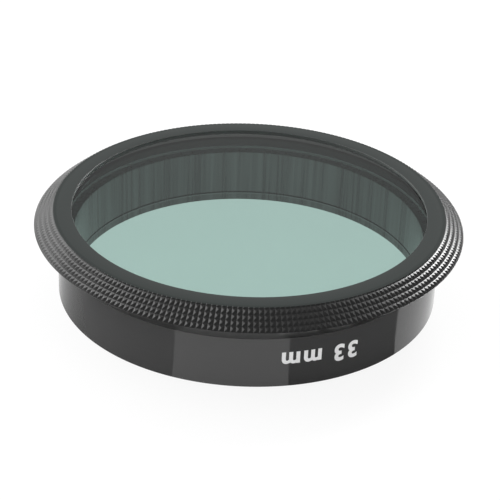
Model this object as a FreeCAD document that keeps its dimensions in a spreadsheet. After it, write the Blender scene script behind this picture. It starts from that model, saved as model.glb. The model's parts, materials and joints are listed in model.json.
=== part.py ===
import FreeCAD, Part
import math
import os
import re

import Sketcher

# Lens filter that comes apart: a knurled frame, a glass, a seal and the ring that holds them in.
# The axis is Z, the skirt's open end stands on Z = 0 and the front of the filter faces +Z.

doc = FreeCAD.newDocument("lens_filter")
sheet = doc.addObject("Spreadsheet::Sheet", "sizes")

# Driving sizes in millimetres, apart from the counts
driving_sizes = {
    "skirt_diameter": 33.0,
    "skirt_wall": 0.4,
    "skirt_height": 4.51,
    "skirt_edge_chamfer": 0.05,
    "bevel_height": 1.81,
    "flange_overhang": 2.0,
    "flange_land": 0.04,
    "rim_rise": 1.33,
    "rim_overhang": 0.29,
    "knurl_row_pitch": 0.494,
    "knurl_tooth_height": 0.09,
    "knurl_column_count": 258,
    "lip_width": 0.82,
    "lip_thickness": 0.2,
    "lip_edge_chamfer": 0.04,
    "glass_thickness": 0.7,
    "glass_edge_chamfer": 0.1,
    "glass_clearance": 0.05,
    "seal_height": 1.73,
    "seal_width": 0.15,
    "seal_clearance": 0.02,
    "ring_wall": 0.94,
    "ring_clearance": 0.03,
    "ring_top_land": 0.89,
    "ring_lead_in_height": 0.05,
    "ring_mouth_chamfer": 0.05,
    "ring_groove_height": 0.8,
    "ring_groove_width": 0.16,
    "ring_groove_depth": 0.12,
    "spanner_slot_width": 1.2,
    "spanner_slot_depth": 0.5,
    "spanner_slot_count": 2,
}
for line, (name, value) in enumerate(driving_sizes.items(), start=1):
    sheet.set(f"A{line}", name)
    sheet.set(f"B{line}", str(value))
    sheet.setAlias(f"B{line}", name)
doc.recompute()


def expression(words):
    """The same words with every size name pointed at its cell of the sheet."""
    return re.sub(r"[a-z]+(_[a-z]+)+", r"sizes.\g<0>", words)


def size(words):
    """The number that an expression of size names gives now."""
    return float(sheet.evalExpression(expression(words)))


def origin_part(body, role):
    """A plane or axis of a body's own origin."""
    return next(part for part in body.Origin.OriginFeatures if part.Role == role)


def hold_point(sketch, kind, line, words):
    """Holds the start point of a sketch line at a distance from the sketch's origin."""
    index = sketch.addConstraint(Sketcher.Constraint(kind, -1, 1, line, 1, size(words)))
    sketch.renameConstraint(index, f"{kind}_{line}")
    sketch.setExpression(f"Constraints.{kind}_{line}", expression(words))


def outline(body, name, role, corners):
    """A sketch of straight lines round corners that are given as pairs of size expressions."""
    sketch = body.newObject("Sketcher::SketchObject", name)
    sketch.AttachmentSupport = [(origin_part(body, role), "")]
    sketch.MapMode = "FlatFace"
    points = [FreeCAD.Vector(size(x), size(y), 0) for x, y in corners]
    for start, end in zip(points, points[1:] + points[:1]):
        sketch.addGeometry(Part.LineSegment(start, end), False)
    for line in range(len(points)):
        following = (line + 1) % len(points)
        sketch.addConstraint(Sketcher.Constraint("Coincident", line, 2, following, 1))
    for line, (x, y) in enumerate(corners):
        hold_point(sketch, "DistanceX", line, x)
        hold_point(sketch, "DistanceY", line, y)
    return sketch


def turned_body(label, corners):
    """A body turned about Z from its half section in the XZ plane."""
    body = doc.addObject("PartDesign::Body", label)
    body.Label = label
    sketch = outline(body, f"{label}_section", "XZ_Plane", corners)
    turning = body.newObject("PartDesign::Revolution", f"{label}_turning")
    turning.Profile = sketch
    turning.ReferenceAxis = (sketch, ["V_Axis"])
    turning.Angle = 360
    return body


# Levels that several pieces share, from the open end up
flange_level = "(skirt_height + bevel_height)"
front_level = f"({flange_level} + rim_rise)"
lip_level = f"({front_level} - lip_thickness)"
glass_level = f"({lip_level} - glass_thickness)"
ring_level = f"({glass_level} - seal_height)"
blank_level = f"({front_level} + knurl_row_pitch)"

# Radii that several pieces share, all led by the skirt
skirt_radius = "(skirt_diameter / 2)"
pocket_radius = f"({skirt_radius} - skirt_wall)"
window_radius = f"({pocket_radius} - lip_width)"
flange_radius = f"({skirt_radius} + flange_overhang)"
glass_radius = f"({pocket_radius} - glass_clearance)"
seal_radius = f"({pocket_radius} - seal_clearance)"
ring_radius = f"({pocket_radius} - ring_clearance)"
bore_radius = f"({ring_radius} - ring_wall)"

# The knurl grips the blank in the thickness of the skirt's wall
knurl_seat_radius = f"({skirt_radius} - skirt_wall / 4)"
knurl_inner_radius = f"({skirt_radius} - skirt_wall * 3 / 4)"

# Frame blank: pocket, skirt, bevel and a flange with a flat seat for the knurl, left tall at the front
frame_blank = turned_body("frame_blank", [
    (pocket_radius, "0"),
    (f"{skirt_radius} - skirt_edge_chamfer", "0"),
    (skirt_radius, "skirt_edge_chamfer"),
    (skirt_radius, "skirt_height"),
    (flange_radius, flange_level),
    (knurl_seat_radius, flange_level),
    (knurl_seat_radius, blank_level),
    (window_radius, blank_level),
    (window_radius, lip_level),
    (pocket_radius, lip_level),
])


def knurl_band():
    """A closed ring of flat-sided pyramids in straight rows and columns up the flange's cone."""
    columns = round(size("knurl_column_count"))
    pitch = size("knurl_row_pitch")
    foot_radius = size(f"{flange_radius} - flange_land")
    foot_level = size(flange_level)
    run = foot_radius - size(f"{skirt_radius} + rim_overhang")
    rise = size("rim_rise")
    slant = math.hypot(run, rise)
    rows = math.ceil(slant / pitch)
    points = []
    facets = []

    def ring(radius, level, half_columns=0):
        """Indices of a level ring of points, turned by so many half columns."""
        first = len(points)
        for column in range(columns):
            angle = math.pi * (2 * column + half_columns) / columns
            points.append(FreeCAD.Vector(radius * math.cos(angle), radius * math.sin(angle), level))
        return range(first, first + columns)

    def cone_ring(along, outward, half_columns=0):
        """A ring so far up the root cone from its foot and so far out from its surface."""
        radius = foot_radius - (along * run - outward * rise) / slant
        level = foot_level + (along * rise + outward * run) / slant
        return ring(radius, level, half_columns)

    def strip(low, high):
        """Two facets to a column between a ring and the next one round the section."""
        for column in range(columns):
            beside = (column + 1) % columns
            facets.append((low[column], low[beside], high[beside]))
            facets.append((low[column], high[beside], high[column]))

    valleys = [cone_ring(row * pitch, 0) for row in range(rows + 1)]
    for row in range(rows):
        tips = cone_ring((row + 0.5) * pitch, size("knurl_tooth_height"), 1)
        low = valleys[row]
        high = valleys[row + 1]
        for column in range(columns):
            beside = (column + 1) % columns
            around = [low[column], low[beside], high[beside], high[column]]
            for corner, following in zip(around, around[1:] + around[:1]):
                facets.append((corner, following, tips[column]))

    inner_low = ring(size(knurl_inner_radius), foot_level)
    inner_high = ring(size(knurl_inner_radius), points[valleys[-1][0]].z)
    strip(valleys[-1], inner_high)
    strip(inner_high, inner_low)
    strip(inner_low, valleys[0])

    band = Part.Shape()
    joining_distance = size("flange_land") / 100
    band.makeShapeFromMesh((points, facets), joining_distance)
    return Part.makeSolid(band.removeSplitter())


knurl = doc.addObject("Part::Feature", "knurl")
knurl.Shape = knurl_band()
knurl.Placement = FreeCAD.Placement()

# The rim is faced flat, which cuts the last row of teeth short, and the lip's front edge is broken
facing_cut = turned_body("facing_cut", [
    (f"{window_radius} - lip_edge_chamfer", f"{front_level} - 2 * lip_edge_chamfer"),
    (f"{window_radius} + lip_edge_chamfer", front_level),
    (flange_radius, front_level),
    (flange_radius, f"{blank_level} + knurl_row_pitch"),
    (f"{window_radius} - lip_edge_chamfer", f"{blank_level} + knurl_row_pitch"),
])

knurled_blank = doc.addObject("Part::Fuse", "knurled_blank")
knurled_blank.Base = frame_blank
knurled_blank.Tool = knurl
knurled_blank.Refine = False
frame = doc.addObject("Part::Cut", "frame")
frame.Label = "frame"
frame.Base = knurled_blank
frame.Tool = facing_cut
frame.Refine = False

# Glass: a plain disc with both edges broken, held against the back of the lip
filter_glass = turned_body("filter_glass", [
    ("0", glass_level),
    (f"{glass_radius} - glass_edge_chamfer", glass_level),
    (glass_radius, f"{glass_level} + glass_edge_chamfer"),
    (glass_radius, f"{lip_level} - glass_edge_chamfer"),
    (f"{glass_radius} - glass_edge_chamfer", lip_level),
    ("0", lip_level),
])

# Seal: a thin sleeve between the glass and the retaining ring
seal_ring = turned_body("seal_ring", [
    (f"{seal_radius} - seal_width", ring_level),
    (seal_radius, ring_level),
    (seal_radius, glass_level),
    (f"{seal_radius} - seal_width", glass_level),
])

# Retaining ring: a bore with broken edges at both ends and a fine groove near the mouth
retaining_ring = turned_body("retaining_ring", [
    (f"{bore_radius} + ring_mouth_chamfer", "0"),
    (ring_radius, "0"),
    (ring_radius, ring_level),
    (f"{ring_radius} - ring_top_land", ring_level),
    (bore_radius, f"{ring_level} - ring_lead_in_height"),
    (bore_radius, "ring_groove_height + ring_groove_width / 2"),
    (f"{bore_radius} + ring_groove_depth", "ring_groove_height"),
    (bore_radius, "ring_groove_height - ring_groove_width / 2"),
    (bore_radius, "ring_mouth_chamfer"),
])

# Slots across the ring's open end take the two-pin spanner that turns it home
slot_section = outline(retaining_ring, "spanner_slot_outline", "XY_Plane", [
    (f"{bore_radius} - ring_wall", "-spanner_slot_width / 2"),
    (f"{ring_radius} + ring_wall", "-spanner_slot_width / 2"),
    (f"{ring_radius} + ring_wall", "spanner_slot_width / 2"),
    (f"{bore_radius} - ring_wall", "spanner_slot_width / 2"),
])
slot = retaining_ring.newObject("PartDesign::Pocket", "spanner_slot")
slot.Profile = slot_section
slot.Type = "Length"
slot.Reversed = True
slot.setExpression("Length", expression("spanner_slot_depth"))
doc.recompute()
slots = retaining_ring.newObject("PartDesign::PolarPattern", "spanner_slots")
slots.Originals = [slot]
slots.Axis = (origin_part(retaining_ring, "Z_Axis"), [""])
slots.Angle = 360
slots.setExpression("Occurrences", expression("spanner_slot_count"))
retaining_ring.Tip = slots
doc.recompute()

# Nothing is written unless every feature is sound and the slots took metal away
for item in doc.Objects:
    if {"Invalid", "Error"} & set(item.State):
        raise RuntimeError(f"{item.Name} failed: {item.State}")
if not slots.Shape.Volume < slot.Shape.Volume < slot.BaseFeature.Shape.Volume:
    raise RuntimeError("the spanner slots cut nothing")
pieces = [frame, filter_glass, seal_ring, retaining_ring]
for piece in pieces:
    if piece.Shape.isNull() or not piece.Shape.isValid() or len(piece.Shape.Solids) != 1:
        raise RuntimeError(f"{piece.Label} is not one valid solid")

os.makedirs("parts", exist_ok=True)
for piece in pieces:
    piece.Shape.exportStep(f"parts/{piece.Label}.step")
    print(f"{piece.Label}: {len(piece.Shape.Faces)} faces, {piece.Shape.Volume:.2f} cubic millimetres")
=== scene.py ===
# %% [markdown]
# This lesson dresses a slip-on lens filter that lies front up on a white table. The real one is a black
# anodised frame turned on a lathe, with a knurled flange to grip, a round glass behind its front lip, a
# rubber seal under the glass and a ring inside that holds both in. The CAD model already fixes every size,
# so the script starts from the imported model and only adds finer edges, finishes, light and a camera.

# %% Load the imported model
import json
import math

import bmesh
import bpy
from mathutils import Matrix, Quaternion, Vector


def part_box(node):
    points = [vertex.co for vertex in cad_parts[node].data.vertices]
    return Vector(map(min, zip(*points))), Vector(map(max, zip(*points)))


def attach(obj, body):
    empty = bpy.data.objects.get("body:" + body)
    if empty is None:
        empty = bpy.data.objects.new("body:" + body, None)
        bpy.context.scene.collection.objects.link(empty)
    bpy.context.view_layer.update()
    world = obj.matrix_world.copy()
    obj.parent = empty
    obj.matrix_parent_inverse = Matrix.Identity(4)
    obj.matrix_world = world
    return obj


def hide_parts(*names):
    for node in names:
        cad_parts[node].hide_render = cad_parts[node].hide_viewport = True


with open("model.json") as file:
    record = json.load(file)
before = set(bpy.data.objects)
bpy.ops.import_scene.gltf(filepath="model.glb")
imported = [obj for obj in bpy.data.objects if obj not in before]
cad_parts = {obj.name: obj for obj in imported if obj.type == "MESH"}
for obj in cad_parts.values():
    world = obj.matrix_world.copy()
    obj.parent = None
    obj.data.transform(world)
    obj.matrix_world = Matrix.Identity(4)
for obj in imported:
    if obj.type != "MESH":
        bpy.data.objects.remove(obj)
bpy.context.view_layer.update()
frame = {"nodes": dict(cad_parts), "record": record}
MM = 0.001

# %% [markdown]
# Every piece is turned about the same upright axis, so a few radii and levels describe them all. Typing
# them all in again would risk a mismatch with the solids. The boxes of the CAD nodes and the record's
# mounts give most of them, and only the small features that no box shows are repeated here.

# %% Read the shared radii and levels
mount_radius = {mount["name"]: mount["dims"].get("r_mm", 0) * MM for mount in frame["record"]["mounts"]}
skirt_radius = mount_radius["skirt_outside"]
bore_radius = mount_radius["lens_bore"]
flange_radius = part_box("frame")[1].x
front_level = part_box("frame")[1].z
lip_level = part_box("filter_glass")[1].z
seal_bottom, seal_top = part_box("seal_ring")
ring_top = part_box("retaining_ring")[1]
skirt_wall = 0.4 * MM
lip_width = 0.82 * MM
rim_rise = 1.33 * MM
skirt_height = 4.51 * MM
pocket_radius = skirt_radius - skirt_wall
window_radius = pocket_radius - lip_width
flange_level = front_level - rim_rise
print("flange and window radius in mm:", round(flange_radius / MM, 3), round(window_radius / MM, 3))

# %% [markdown]
# On the lathe, a tool follows the part's half section while the blank turns. The same can be done here:
# a wire outline of the half section is spun once round the axis. Real edges are never razor sharp, because
# the turner breaks them with a file, and a broken edge is what catches the light. Rounding corners of the
# wire before it is spun gives such edges their small radius without a bevel on the finished mesh.


# %% Spin a half section round the axis
weld_distance = 0.0001 * MM
sharp_angle = math.radians(25)


def half_section(corners):
    """A closed wire in the XZ plane from corners given as radius, level and edge rounding."""
    outline = bmesh.new()
    points = [outline.verts.new((radius, 0, level)) for radius, level, rounding in corners]
    for start, end in zip(points, points[1:] + points[:1]):
        outline.edges.new((start, end))
    for rounding in sorted({corner[2] for corner in corners if corner[2] > 0}):
        chosen = [point for point, corner in zip(points, corners) if corner[2] == rounding]
        bmesh.ops.bevel(
            outline, geom=chosen, offset=rounding, offset_type="OFFSET", segments=4, profile=0.5,
            affect="VERTICES", material=-1,
        )
    return outline


def spin_round(outline, steps):
    """Spins a wire outline into a closed ring whose faces point outwards."""
    bmesh.ops.spin(
        outline, geom=outline.verts[:] + outline.edges[:], cent=(0, 0, 0), axis=(0, 0, 1), dvec=(0, 0, 0),
        angle=math.tau, steps=steps, use_merge=True,
    )
    bmesh.ops.remove_doubles(outline, verts=outline.verts, dist=weld_distance)
    bmesh.ops.recalc_face_normals(outline, faces=outline.faces)


def make_piece(name, shape, body="root"):
    """Turns a bmesh into an object that rides on a body, smooth apart from its real edges."""
    data = bpy.data.meshes.new(name)
    shape.to_mesh(data)
    shape.free()
    data.shade_smooth()
    data.set_sharp_from_angle(angle=sharp_angle)
    piece = bpy.data.objects.new(name, data)
    bpy.context.scene.collection.objects.link(piece)
    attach(piece, body)
    print(name, "has", len(data.polygons), "faces")
    return piece


# %% [markdown]
# The frame's flange is knurled for grip: a wheel is rolled round it and presses rows of small pyramids into
# the cone. Drawing each tooth would take thousands of lists of corners. Instead the half section steps up
# the cone one row at a time and is spun in as many steps as a row has teeth, so each cell of the grid is one
# tooth, and poking its face lifts the tip. The front is then faced flat, which cuts the last row short, as
# the lathe does on the real part.

# %% Turn and knurl the frame
knurl_columns = 258
knurl_row_pitch = 0.494 * MM
knurl_tooth_height = 0.09 * MM
flange_land = 0.04 * MM
rim_overhang = 0.29 * MM
knurl_foot = Vector((flange_radius - flange_land, flange_level))
rim_corner = Vector((skirt_radius + rim_overhang, front_level))
up_the_cone = (rim_corner - knurl_foot).normalized()
knurl_rows = math.ceil((rim_corner - knurl_foot).length / knurl_row_pitch)
valleys = [knurl_foot + up_the_cone * knurl_row_pitch * row for row in range(knurl_rows + 1)]
rim_seat_inset = 0.1 * MM
rim_seat = skirt_radius - rim_seat_inset
skirt_chamfer = 0.05 * MM
lip_chamfer = 0.02 * MM
soft_edge = 0.03 * MM
broken_edge = 0.02 * MM
fine_edge = 0.007 * MM

frame_shape = half_section([
    (pocket_radius, 0, soft_edge),
    (skirt_radius - skirt_chamfer, 0, broken_edge),
    (skirt_radius, skirt_chamfer, broken_edge),
    (skirt_radius, skirt_height, 0),
    (flange_radius, flange_level, broken_edge),
    *[(valley.x, valley.y, 0) for valley in valleys],
    (rim_seat, valleys[-1].y, 0),
    (rim_seat, front_level, 0),
    (window_radius + lip_chamfer, front_level, fine_edge),
    (window_radius, front_level - lip_chamfer, fine_edge),
    (window_radius, lip_level, 0),
    (pocket_radius, lip_level, 0),
])
spin_round(frame_shape, knurl_columns)


def is_tooth_cell(face):
    """True for a four-sided face that slopes as the cone does, above its foot and outside the rim's seat."""
    centre = face.calc_center_median()
    margin = 0.05 * MM
    steepest = 0.3
    flattest = 0.95
    on_the_cone = centre.z > flange_level + margin and centre.xy.length > rim_seat + margin
    slopes = steepest < face.normal.z < flattest
    return on_the_cone and slopes and len(face.verts) == 4


tooth_cells = [face for face in frame_shape.faces if is_tooth_cell(face)]
print("knurl cells:", len(tooth_cells), "for", knurl_rows, "rows of", knurl_columns)
bmesh.ops.poke(
    frame_shape, faces=tooth_cells, offset=knurl_tooth_height, center_mode="MEAN", use_relative_offset=False,
)
bmesh.ops.bisect_plane(
    frame_shape, geom=frame_shape.verts[:] + frame_shape.edges[:] + frame_shape.faces[:], dist=weld_distance,
    plane_co=(0, 0, front_level), plane_no=(0, 0, 1), clear_outer=True,
)
open_edges = [edge for edge in frame_shape.edges if edge.is_boundary]
bmesh.ops.triangle_fill(frame_shape, edges=open_edges, use_beauty=True, normal=(0, 0, 1))
bmesh.ops.recalc_face_normals(frame_shape, faces=frame_shape.faces)
print("open edges left on the frame:", sum(edge.is_boundary for edge in frame_shape.edges))
turned_frame = make_piece("turned_frame", frame_shape)
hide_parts("frame")

# %% [markdown]
# Behind the glass sits a thin sleeve of rubber, and below it the retaining ring that screws in from the open
# end. Both are plain turned rings, so each is one half section, spun. The ring has a flat top and a fine
# groove near its mouth.

# %% Turn the seal and the retaining ring
smooth_steps = 192
seal_width = 0.15 * MM
seal_inside = seal_top.x - seal_width
seal_shape = half_section([
    (seal_inside, seal_bottom.z, soft_edge),
    (seal_top.x, seal_bottom.z, soft_edge),
    (seal_top.x, seal_top.z, soft_edge),
    (seal_inside, seal_top.z, soft_edge),
])
spin_round(seal_shape, smooth_steps)
seal = make_piece("seal", seal_shape)
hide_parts("seal_ring")

groove_level = 0.8 * MM
groove_half_width = 0.08 * MM
groove_depth = 0.12 * MM
top_chamfer = 0.05 * MM
mouth_chamfer = 0.02 * MM
outer_foot_edge = 0.06 * MM
outer_top_edge = 0.04 * MM
groove_edge = 0.015 * MM
ring_shape = half_section([
    (bore_radius + mouth_chamfer, 0, fine_edge),
    (ring_top.x, 0, outer_foot_edge),
    (ring_top.x, ring_top.z, outer_top_edge),
    (bore_radius + top_chamfer, ring_top.z, broken_edge),
    (bore_radius, ring_top.z - top_chamfer, broken_edge),
    (bore_radius, groove_level + groove_half_width, groove_edge),
    (bore_radius + groove_depth, groove_level, groove_edge),
    (bore_radius, groove_level - groove_half_width, groove_edge),
    (bore_radius, mouth_chamfer, fine_edge),
])
spin_round(ring_shape, smooth_steps)
bore_ring = make_piece("bore_ring", ring_shape)
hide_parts("retaining_ring")

# %% [markdown]
# The ring is screwed home with a pin spanner that fits two slots in its end. A slot could be cut by bisecting
# the mesh. A Boolean with one long bar across the ring makes both slots at once and leaves clean walls. Its
# result is taken as the ring's mesh at once, so no modifier stays on the piece.

# %% Cut the two spanner slots
slot_width = 1.2 * MM
slot_depth = 0.5 * MM
bar_shape = bmesh.new()
bmesh.ops.create_cube(bar_shape, size=1)
bmesh.ops.scale(bar_shape, vec=(4 * skirt_radius, slot_width, 2 * slot_depth), verts=bar_shape.verts)
slot_bar = make_piece("slot_bar", bar_shape)
cut = bore_ring.modifiers.new("spanner_slots", "BOOLEAN")
cut.operation = "DIFFERENCE"
cut.solver = "EXACT"
cut.object = slot_bar
depsgraph = bpy.context.evaluated_depsgraph_get()
slotted = bpy.data.meshes.new_from_object(bore_ring.evaluated_get(depsgraph))
bore_ring.modifiers.clear()
bore_ring.data = slotted
slotted.name = "bore_ring"
slotted.shade_smooth()
slotted.set_sharp_from_angle(angle=sharp_angle)
bpy.data.objects.remove(slot_bar)
print("slotted ring has", len(slotted.polygons), "faces")

# %% [markdown]
# A filter of this kind has white print on the outside of its skirt, which reads the right way up when the
# filter is held front down. Here it is the skirt's own diameter. A text object gives the shapes of the
# figures. They are made a mesh, raised by a coat of ink while they are flat, and then each point is laid
# round the skirt. Thickening the bent figures would throw out spikes where their triangles are thin.

# %% Print the size on the skirt
ink_height = 1.5 * MM
ink_level = 2.52 * MM
ink_angle = math.radians(-68)
ink_coat = 0.012 * MM
ink_sunk = 0.006 * MM
figure_share_of_size = 0.72
ink_spread = 0.045 * ink_height
ink_weld_distance = 0.001 * MM
straight_within = 0.01

figures = bpy.data.curves.new("size_mark", "FONT")
figures.body = f"{2 * skirt_radius / MM:.0f} mm"
figures.align_x = "CENTER"
figures.align_y = "CENTER"
figures.size = ink_height / figure_share_of_size
figures.offset = ink_spread
figures.space_character = 1.2
figures.resolution_u = 6
figures_object = bpy.data.objects.new("size_mark_text", figures)
flat_mark = bpy.data.meshes.new_from_object(figures_object)
bpy.data.objects.remove(figures_object)

mark_shape = bmesh.new()
mark_shape.from_mesh(flat_mark)
bmesh.ops.remove_doubles(mark_shape, verts=mark_shape.verts, dist=ink_weld_distance)
bmesh.ops.dissolve_limit(
    mark_shape, angle_limit=straight_within, verts=mark_shape.verts, edges=mark_shape.edges,
)
bmesh.ops.triangulate(mark_shape, faces=mark_shape.faces)
raised = bmesh.ops.extrude_face_region(mark_shape, geom=mark_shape.faces[:])["geom"]
raised_points = [item for item in raised if isinstance(item, bmesh.types.BMVert)]
bmesh.ops.translate(mark_shape, vec=(0, 0, ink_sunk + ink_coat), verts=raised_points)
for vertex in mark_shape.verts:
    angle = ink_angle - vertex.co.x / skirt_radius
    level = ink_level - vertex.co.y
    reach = skirt_radius - ink_sunk + vertex.co.z
    vertex.co = (reach * math.cos(angle), reach * math.sin(angle), level)
bmesh.ops.recalc_face_normals(mark_shape, faces=mark_shape.faces)
reaches = [vertex.co.xy.length / MM for vertex in mark_shape.verts]
print("ink from", round(min(reaches), 4), "to", round(max(reaches), 4), "mm from the axis")
print("open edges left on the ink:", sum(edge.is_boundary for edge in mark_shape.edges))
size_mark = make_piece("size_mark", mark_shape)
print("printed size:", figures.body)

# %% [markdown]
# Finishes are built from nodes. Wiring every Math node by hand hides the idea behind the wiring, so one small
# class stands for a socket, and ordinary arithmetic on it adds the Math nodes. Any other node comes from its
# one method node(), which takes the type of node, its settings and what goes into its sockets.


# %% Write shader maths as expressions
class Socket:
    """An output socket of a node tree. Arithmetic on it adds Math nodes."""

    def __init__(self, tree, socket=None):
        self.tree = tree
        self.socket = socket

    def __getitem__(self, output):
        """Another output of the same node."""
        return Socket(self.tree, self.socket.node.outputs[output])

    def node(self, kind, settings=None, inputs=None, output=0):
        """Adds a node: its settings first, then the values or links of its sockets."""
        added = self.tree.nodes.new(kind)
        for name, value in (settings or {}).items():
            setattr(added, name, value)
        for name, value in (inputs or {}).items():
            if isinstance(value, Socket):
                self.tree.links.new(value.socket, added.inputs[name])
            else:
                added.inputs[name].default_value = value
        return Socket(self.tree, added.outputs[output])

    def math(self, operation, first, second):
        """Adds a Math node for two values or sockets."""
        return self.node("ShaderNodeMath", {"operation": operation}, {0: first, 1: second})

    def __add__(self, other):
        return self.math("ADD", self, other)

    def __radd__(self, other):
        return self.math("ADD", other, self)

    def __sub__(self, other):
        return self.math("SUBTRACT", self, other)

    def __rsub__(self, other):
        return self.math("SUBTRACT", other, self)

    def __mul__(self, other):
        return self.math("MULTIPLY", self, other)

    def __rmul__(self, other):
        return self.math("MULTIPLY", other, self)

    def __gt__(self, other):
        return self.math("GREATER_THAN", self, other)

    def pick(self, low, high):
        """A colour that goes from one colour to another with this value."""
        return self.node(
            "ShaderNodeMix", {"data_type": "RGBA"}, {"Factor": self, "A": low, "B": high}, "Result",
        )

    def blend(self, low, high):
        """The same between two colours given as red, green and blue."""
        return self.pick((*low, 1), (*high, 1))


def new_finish(name, **constants):
    """A material with one Principled shader, and a way in for its nodes."""
    material = bpy.data.materials.new(name)
    material.use_nodes = True
    shader = material.node_tree.nodes["Principled BSDF"]
    for socket_name, value in constants.items():
        shader.inputs[socket_name.replace("_", " ")].default_value = value
    return material, shader, Socket(material.node_tree)


def feed(shader, **sources):
    """Links values that change over the surface to the shader's sockets."""
    for socket_name, source in sources.items():
        source.tree.links.new(source.socket, shader.inputs[socket_name.replace("_", " ")])


def millimetres(start):
    """Object coordinates in millimetres."""
    place = start.node("ShaderNodeTexCoord", output="Object")
    return start.node("ShaderNodeVectorMath", {"operation": "SCALE"}, {"Vector": place, "Scale": 1 / MM})


def along(place, axis):
    """How far a place lies along one axis."""
    return place.node("ShaderNodeSeparateXYZ", inputs={"Vector": place})[axis]


def stretched(place, stretch):
    """The same place, stretched differently along each axis."""
    return place.node("ShaderNodeVectorMath", {"operation": "MULTIPLY"}, {0: place, 1: stretch})


def noise(place, scale, detail=2.0):
    """Noise from 0 to 1 whose lumps are about 1 / scale across."""
    return place.node("ShaderNodeTexNoise", inputs={"Vector": place, "Scale": scale, "Detail": detail})


def relief(height, depth):
    """A bump whose full height is so many metres."""
    inputs = {"Strength": 1.0, "Distance": depth, "Height": height}
    return height.node("ShaderNodeBump", inputs=inputs, output="Normal")


def grey(value):
    """One value as red, green and blue."""
    return value, value, value


print("shader helpers ready")

# %% [markdown]
# The frame is aluminium, anodised black: a dyed, sealed oxide skin that mirrors its surroundings a little, as
# dark glass does. A metallic shader would make those mirror images black, so this one is not metallic. The
# lathe leaves very fine rings, which here are noise along the radius and the height but not round the
# axis, and the etch before anodising leaves a grain that is finer still.
#
# The photograph shows one colour of black in several shades, so each part of the frame gets its own: the
# skirt is plain black, the bevel and the knurl are darker and rougher, the front face has a faint green
# cast and a thin clear coat that stops short of its outer edge, and the edge of the lip is matt and painted
# paler, a painted light that stands in for the light the edge catches.

# %% Black anodised frame
anodised_frame, frame_shader, start = new_finish("anodised_frame", IOR=1.5, Coat_Roughness=0.06)
place = millimetres(start)
height = along(place, "Z")
flat_place = stretched(place, (1, 1, 0))
radius = place.node("ShaderNodeVectorMath", {"operation": "LENGTH"}, {0: flat_place}, "Value")
lathe_place = place.node("ShaderNodeCombineXYZ", inputs={"X": radius, "Y": height})
lathe_rings = noise(lathe_place, 9.0, 4.0)
grain = noise(place, 22.0, 3.0)
edge_ring_width = 0.23 * MM
front_margin = 0.01
lip_margin = 0.002
at_front = height > front_level / MM - front_margin
on_flange = (height > skirt_height / MM) * (radius > rim_seat / MM) * (1 - at_front)
on_knurl = on_flange * (height > flange_level / MM)
inside_edge = 1 - (radius > (rim_corner.x - edge_ring_width) / MM)
at_window = 1 - (radius > (window_radius + lip_chamfer) / MM - lip_margin)
on_lip_edge = at_window * (height > lip_level / MM)
shade = 0.35 * lathe_rings + 0.65 * grain
plain_black = shade.blend(grey(0.046), grey(0.056))
bevel_black = shade.blend(grey(0.014), grey(0.020))
knurl_black = shade.blend(grey(0.009), grey(0.012))
rim_black = shade.blend((0.0002, 0.0040, 0.0028), (0.0010, 0.0054, 0.0040))
# Painted light: the edge of the lip gets a paler grey that stands in for the light it catches.
lip_painted_light = shade.blend((0.058, 0.062, 0.060), (0.068, 0.072, 0.070))
flange_colour = on_knurl.pick(on_flange.pick(plain_black, bevel_black), knurl_black)
frame_colour = on_lip_edge.pick(at_front.pick(flange_colour, rim_black), lip_painted_light)
feed(
    frame_shader,
    Base_Color=frame_colour,
    Roughness=0.05 + 0.04 * lathe_rings + 0.04 * grain + 0.20 * on_flange + 0.40 * on_lip_edge,
    Coat_Weight=0.2 * at_front * inside_edge,
    Normal=relief(0.6 * lathe_rings + 0.4 * grain, 0.0006 * MM),
)
turned_frame.data.materials.append(anodised_frame)
print("frame finish has", len(anodised_frame.node_tree.nodes), "nodes")

# %% [markdown]
# The retaining ring is anodised too, but its bore was brushed along the axis, so the light in it breaks into
# fine upright streaks. Noise that all but ignores the height makes just that: it changes round the bore and
# hardly along it. Coarse and fine noise together look irregular, as brush marks do. The narrow land below the
# groove is painted a little brighter, a painted highlight, as the photograph shows it.

# %% Brushed bore of the retaining ring
anodised_ring, ring_shader, start = new_finish("anodised_ring", IOR=1.5, Metallic=1.0)
place = millimetres(start)
height = along(place, "Z")
upright = stretched(place, (1, 1, 0.02))
broad_streaks = noise(upright, 0.9, 0.0)
fine_streaks = 0.6 * noise(upright, 2.2, 0.0) + 0.4 * noise(upright, 6.0, 0.0)
grain = noise(place, 18.0, 2.0)
streaks = 0.6 * broad_streaks + 1.3 * fine_streaks - 0.45
groove_foot = (groove_level - groove_half_width) / MM
# Painted highlight: a narrow band below the groove gets a lighter grey in place of the light it would catch.
land_height = 0.10
land_highlight_grey = 0.17
painted_highlight_band = (height > groove_foot - land_height) * (1 - (height > groove_foot))
brushed = (0.9 * streaks + 0.1 * grain).blend(grey(0.030), grey(0.160))
feed(
    ring_shader,
    Base_Color=painted_highlight_band.pick(brushed, (*grey(land_highlight_grey), 1)),
    Roughness=0.24 + 0.10 * streaks,
    Normal=relief(grain, 0.0003 * MM),
)
bore_ring.data.materials.clear()
bore_ring.data.materials.append(anodised_ring)
print("ring finish has", len(anodised_ring.node_tree.nodes), "nodes")
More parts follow.
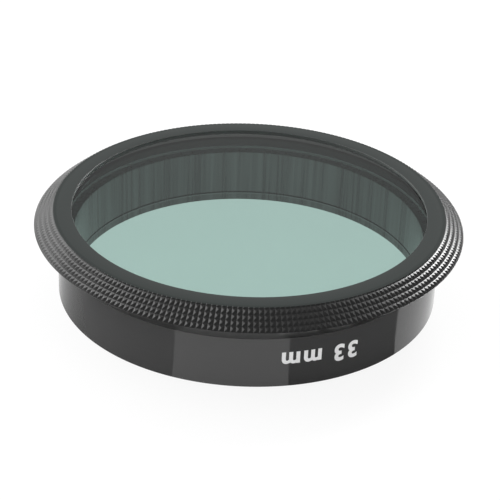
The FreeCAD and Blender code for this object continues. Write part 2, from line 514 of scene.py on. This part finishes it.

# %% [markdown]
# Black rubber is matt and slightly mottled from its mould. Two sizes of noise give its colour and its
# roughness, and a shallow bump keeps it from looking like a painted band. The photograph shows the seal as a
# dark band with a light line at its top and another at its foot. Why they are light can't be seen, so they
# are simply given as bands of height in painted light: a smooth top that is made a mirror in a paler colour,
# with a painted highlight along its very top, and a foot painted pale.

# %% Rubber seal
seal_rubber, seal_shader, start = new_finish("seal_rubber", Specular_IOR_Level=0.0)
place = millimetres(start)
height = along(place, "Z")
mottle = 0.5 * noise(place, 3.0) + 0.5 * noise(place, 16.0)
top_band = 0.53 * MM
top_line = 0.31 * MM
foot_line = 0.28 * MM
# Painted light: the paler top band with its lighter top line, and the pale foot, stand in for light lines.
# The top band is also made a smooth mirror.
bright_top = height > (seal_top.z - top_band) / MM
painted_highlight_edge = height > (seal_top.z - top_line) / MM
painted_light_foot = 1 - (height > (seal_bottom.z + foot_line) / MM)
black_rubber = mottle.blend((0.008, 0.007, 0.007), (0.014, 0.012, 0.012))
painted_light_top_colour = painted_highlight_edge.blend((0.100, 0.078, 0.082), (0.175, 0.132, 0.140))
lower_half = painted_light_foot.pick(black_rubber, (0.50, 0.40, 0.42, 1))
feed(
    seal_shader,
    Base_Color=bright_top.pick(lower_half, painted_light_top_colour),
    Metallic=bright_top,
    Roughness=0.60 + 0.20 * mottle - 0.45 * bright_top,
    Normal=relief(mottle, 0.002 * MM),
)
seal.data.materials.append(seal_rubber)
print("seal finish has", len(seal_rubber.node_tree.nodes), "nodes")

# %% [markdown]
# The filter's glass is flat, polished and coated on both faces, so it mirrors far less than bare glass and
# tints what lies behind it a cool green. A shader with full transmission bends the light as the real
# disc does. A dark Specular Tint stands for the coating, and a hardly visible mottle in the tint keeps
# the disc from being one flat colour.

# %% Coated glass
coated_glass, glass_shader, start = new_finish(
    "coated_glass", IOR=1.5, Transmission_Weight=1.0, Specular_Tint=(0.12, 0.13, 0.12, 1),
)
place = millimetres(start)
wash = noise(place, 0.16, 1.0)
feed(
    glass_shader,
    Base_Color=wash.blend((0.396, 0.573, 0.525), (0.412, 0.591, 0.542)),
    Roughness=0.004 * wash,
)
glass_node = frame["nodes"]["filter_glass"]
for material_slot in glass_node.material_slots:
    material_slot.material = coated_glass
print("glass finish has", len(coated_glass.node_tree.nodes), "nodes")

# %% [markdown]
# The figures are pad printed: white ink with a soft gloss, a little thin in places where the black shows
# through. A fine noise greys the white and varies its shine.

# %% White ink
white_ink, ink_shader, start = new_finish("white_ink", IOR=1.45)
place = millimetres(start)
cover = 0.6 * noise(place, 5.0) + 0.4 * noise(place, 30.0)
feed(
    ink_shader,
    Base_Color=cover.blend(grey(0.78), grey(0.92)),
    Roughness=0.38 + 0.18 * cover,
)
size_mark.data.materials.append(white_ink)
print("ink finish has", len(white_ink.node_tree.nodes), "nodes")

# %% [markdown]
# The table is plain white. A white table lit until it is white would flood the black ring with light, so the
# floor gives its own white to what the camera, the glossy black and the glass see, and keeps a share of real
# shading, in which the filter's shadow shows.


# %% White floor
def seen_rays(start):
    """1 for rays from the camera, from gloss or through glass."""
    path = start.node("ShaderNodeLightPath", output="Is Camera Ray")
    sharp = path.math("MAXIMUM", path["Is Glossy Ray"], path["Is Transmission Ray"])
    return path.math("MAXIMUM", path, sharp)


def stage_piece(name, shape, material):
    """A floor or card that is not part of the filter."""
    data = bpy.data.meshes.new(name)
    shape.to_mesh(data)
    shape.free()
    data.materials.append(material)
    piece = bpy.data.objects.new(name, data)
    bpy.context.scene.collection.objects.link(piece)
    return piece


white_floor, floor_shader, start = new_finish(
    "white_floor", Base_Color=(*grey(0.85), 1), Roughness=0.9,
)
floor_links = white_floor.node_tree.links
glow = start.node("ShaderNodeEmission", inputs={"Color": (1, 1, 1, 1), "Strength": 1.0})
shaded_share = 0.12
own_white = (1 - shaded_share) * seen_rays(start)
floor_mix = start.node("ShaderNodeMixShader", inputs={"Fac": own_white})
floor_links.new(floor_shader.outputs[0], floor_mix.socket.node.inputs[1])
floor_links.new(glow.socket, floor_mix.socket.node.inputs[2])
floor_links.new(floor_mix.socket, white_floor.node_tree.nodes["Material Output"].inputs["Surface"])
floor_radius = 3.0
floor_shape = bmesh.new()
bmesh.ops.create_circle(floor_shape, cap_ends=True, segments=96, radius=floor_radius)
stage_piece("floor", floor_shape, white_floor)
print("floor radius in m:", floor_radius)

# %% [markdown]
# The room behind the table is white to the camera and through the glass. In mirror images it is dimmer,
# because a studio is dark behind its lamps, and as plain soft light it is a little dimmer than white.

# %% White room
world = bpy.data.worlds.new("studio")
bpy.context.scene.world = world
world.use_nodes = True
start = Socket(world.node_tree)
path = start.node("ShaderNodeLightPath", output="Is Camera Ray")
room_light = 0.27
room_fill = 0.8
room = world.node_tree.nodes["Background"]
room.inputs["Color"].default_value = (1, 1, 1, 1)
not_mirrored = 1 - (path["Glossy Depth"] > 0.5)
clear_rays = path + path["Is Transmission Ray"] * not_mirrored
strength = room_light + (1 - room_light) * clear_rays + (room_fill - room_light) * path["Is Diffuse Ray"]
world.node_tree.links.new(strength.socket, room.inputs["Strength"])
print("room light in mirror images and as soft light:", room_light, room_fill)

# %% [markdown]
# A polished black skirt shows what lies on the table in front of it, and a photographer uses that: dark and
# grey cards laid round the product break the plain white into upright bands that show the curve. Each card's
# side runs the way that a look at the skirt is mirrored, so the edge of its image stands upright. The grey
# card grows lighter from the front to the side. Both are hidden from the camera and from all but gloss.


# %% Dark and grey cards
def skirt_point(bearing, reach=0.0, heading=0.0):
    """A point at the skirt's foot, and from there so far along a heading, both angles from the front."""
    turn = math.radians(bearing)
    way = math.radians(heading)
    x = skirt_radius * math.sin(turn) + reach * math.sin(way)
    y = -skirt_radius * math.cos(turn) - reach * math.cos(way)
    return x, y


def between(first, last):
    """Corners of a card between two sides, each given as its bearing at the skirt and its heading."""
    card_length = 250 * MM
    return [
        skirt_point(first[0]), skirt_point(first[0], card_length, first[1]),
        skirt_point(last[0], card_length, last[1]), skirt_point(last[0]),
    ]


def lay_card(name, corners, front_grey, side_grey):
    """A card on the table, one grey at the front of the filter and another beside it."""
    card_level = 0.01 * MM
    front_end = -9.0
    side_end = 2.0
    shape = bmesh.new()
    points = [shape.verts.new((x, y, card_level)) for x, y in corners]
    bmesh.ops.contextual_create(shape, geom=points)
    paper, paper_shader, start = new_finish(
        name, Roughness=1.0, Base_Color=(0, 0, 0, 1), Specular_IOR_Level=0.0, Emission_Strength=1.0,
    )
    place = millimetres(start)
    to_the_side = (along(place, "Y") - front_end) * (1 / (side_end - front_end))
    feed(paper_shader, Emission_Color=to_the_side.blend(grey(front_grey), grey(side_grey)))
    card = stage_piece(name, shape, paper)
    card.visible_camera = False
    card.visible_diffuse = False
    card.visible_transmission = False
    card.visible_shadow = False


lay_card("dark_card", between((12.8, 26.5), (49, 104)), front_grey=0.06, side_grey=0.06)
lay_card("grey_card", between((-20.2, -40.5), (-92, -184)), front_grey=0.26, side_grey=0.90)

# %% [markdown]
# Soft boxes behind and beside the filter do the rest. The small one at the back right is strong, because
# the teeth of the knurl there glint white, and a weak one beside it fills in. On the left a large one gives
# the knurl an even grey, with a low one under it for the teeth's lower sides and a weak one beside it. The
# low one is narrower, or the glass would mirror it in a view from the right. A faint one at the back lights
# the front face. A lamp's power is worked out from how bright its face should look, so that its size can
# change without changing its mirror image.


# %% Soft boxes
def soft_box(name, bearing, elevation, half_width, half_height, brightness):
    """A rectangular lamp that faces the filter. Its place and reach are angles seen from the flange."""
    away = 200 * MM
    turn = math.radians(bearing)
    rise = math.radians(elevation)
    way = Vector((math.cos(rise) * math.sin(turn), -math.cos(rise) * math.cos(turn), math.sin(rise)))
    lamp = bpy.data.lights.new(name, "AREA")
    lamp.shape = "RECTANGLE"
    lamp.size = 2 * away * math.tan(math.radians(half_width))
    lamp.size_y = 2 * away * math.tan(math.radians(half_height))
    lamp.energy = brightness * math.pi * lamp.size * lamp.size_y
    box = bpy.data.objects.new(name, lamp)
    box.location = Vector((0, 0, flange_level)) + away * way
    box.rotation_euler = (-way).to_track_quat("-Z", "Y").to_euler()
    box.visible_transmission = False
    bpy.context.scene.collection.objects.link(box)
    print(name, "power in W:", round(lamp.energy, 3))


soft_box("right_box", bearing=150.5, elevation=34, half_width=10, half_height=9.5, brightness=25.0)
soft_box("right_fill", bearing=126, elevation=22, half_width=18, half_height=18, brightness=1.3)
soft_box("left_box", bearing=-118, elevation=38, half_width=33, half_height=23, brightness=3.1)
soft_box("left_low", bearing=-126, elevation=8.5, half_width=22, half_height=8, brightness=3.0)
soft_box("left_fill", bearing=-66, elevation=54, half_width=16, half_height=14, brightness=0.7)
soft_box("back_box", bearing=180, elevation=28, half_width=20, half_height=16, brightness=0.35)

# %% [markdown]
# The camera looks down at the filter from the front through a long lens, turned a little about its own axis,
# as the photograph was taken. Shifting the lens would frame it as well, but the shift would stay in the views
# from other sides, so the camera is aimed beside the middle of the filter instead.

# %% Camera
bpy.context.scene.view_settings.view_transform = "Standard"
camera_data = bpy.data.cameras.new("camera")
camera_data.sensor_width = 36
camera_data.lens = 118.40
camera_data.clip_start = 0.01
camera = bpy.data.objects.new("camera", camera_data)
bpy.context.scene.collection.objects.link(camera)
elevation = math.radians(29.212)
camera_distance = 142.31 * MM
look = Vector((0, math.cos(elevation), -math.sin(elevation)))
aim_point = Vector((0.168, -1.288, 4.016)) * MM
camera.location = aim_point - look * camera_distance
roll = Quaternion((0, 0, 1), math.radians(2.2871))
camera.rotation_euler = (look.to_track_quat("-Z", "Y") @ roll).to_euler()
bpy.context.scene.camera = camera
print("camera stands at, in mm:", [round(value / MM, 1) for value in camera.location])
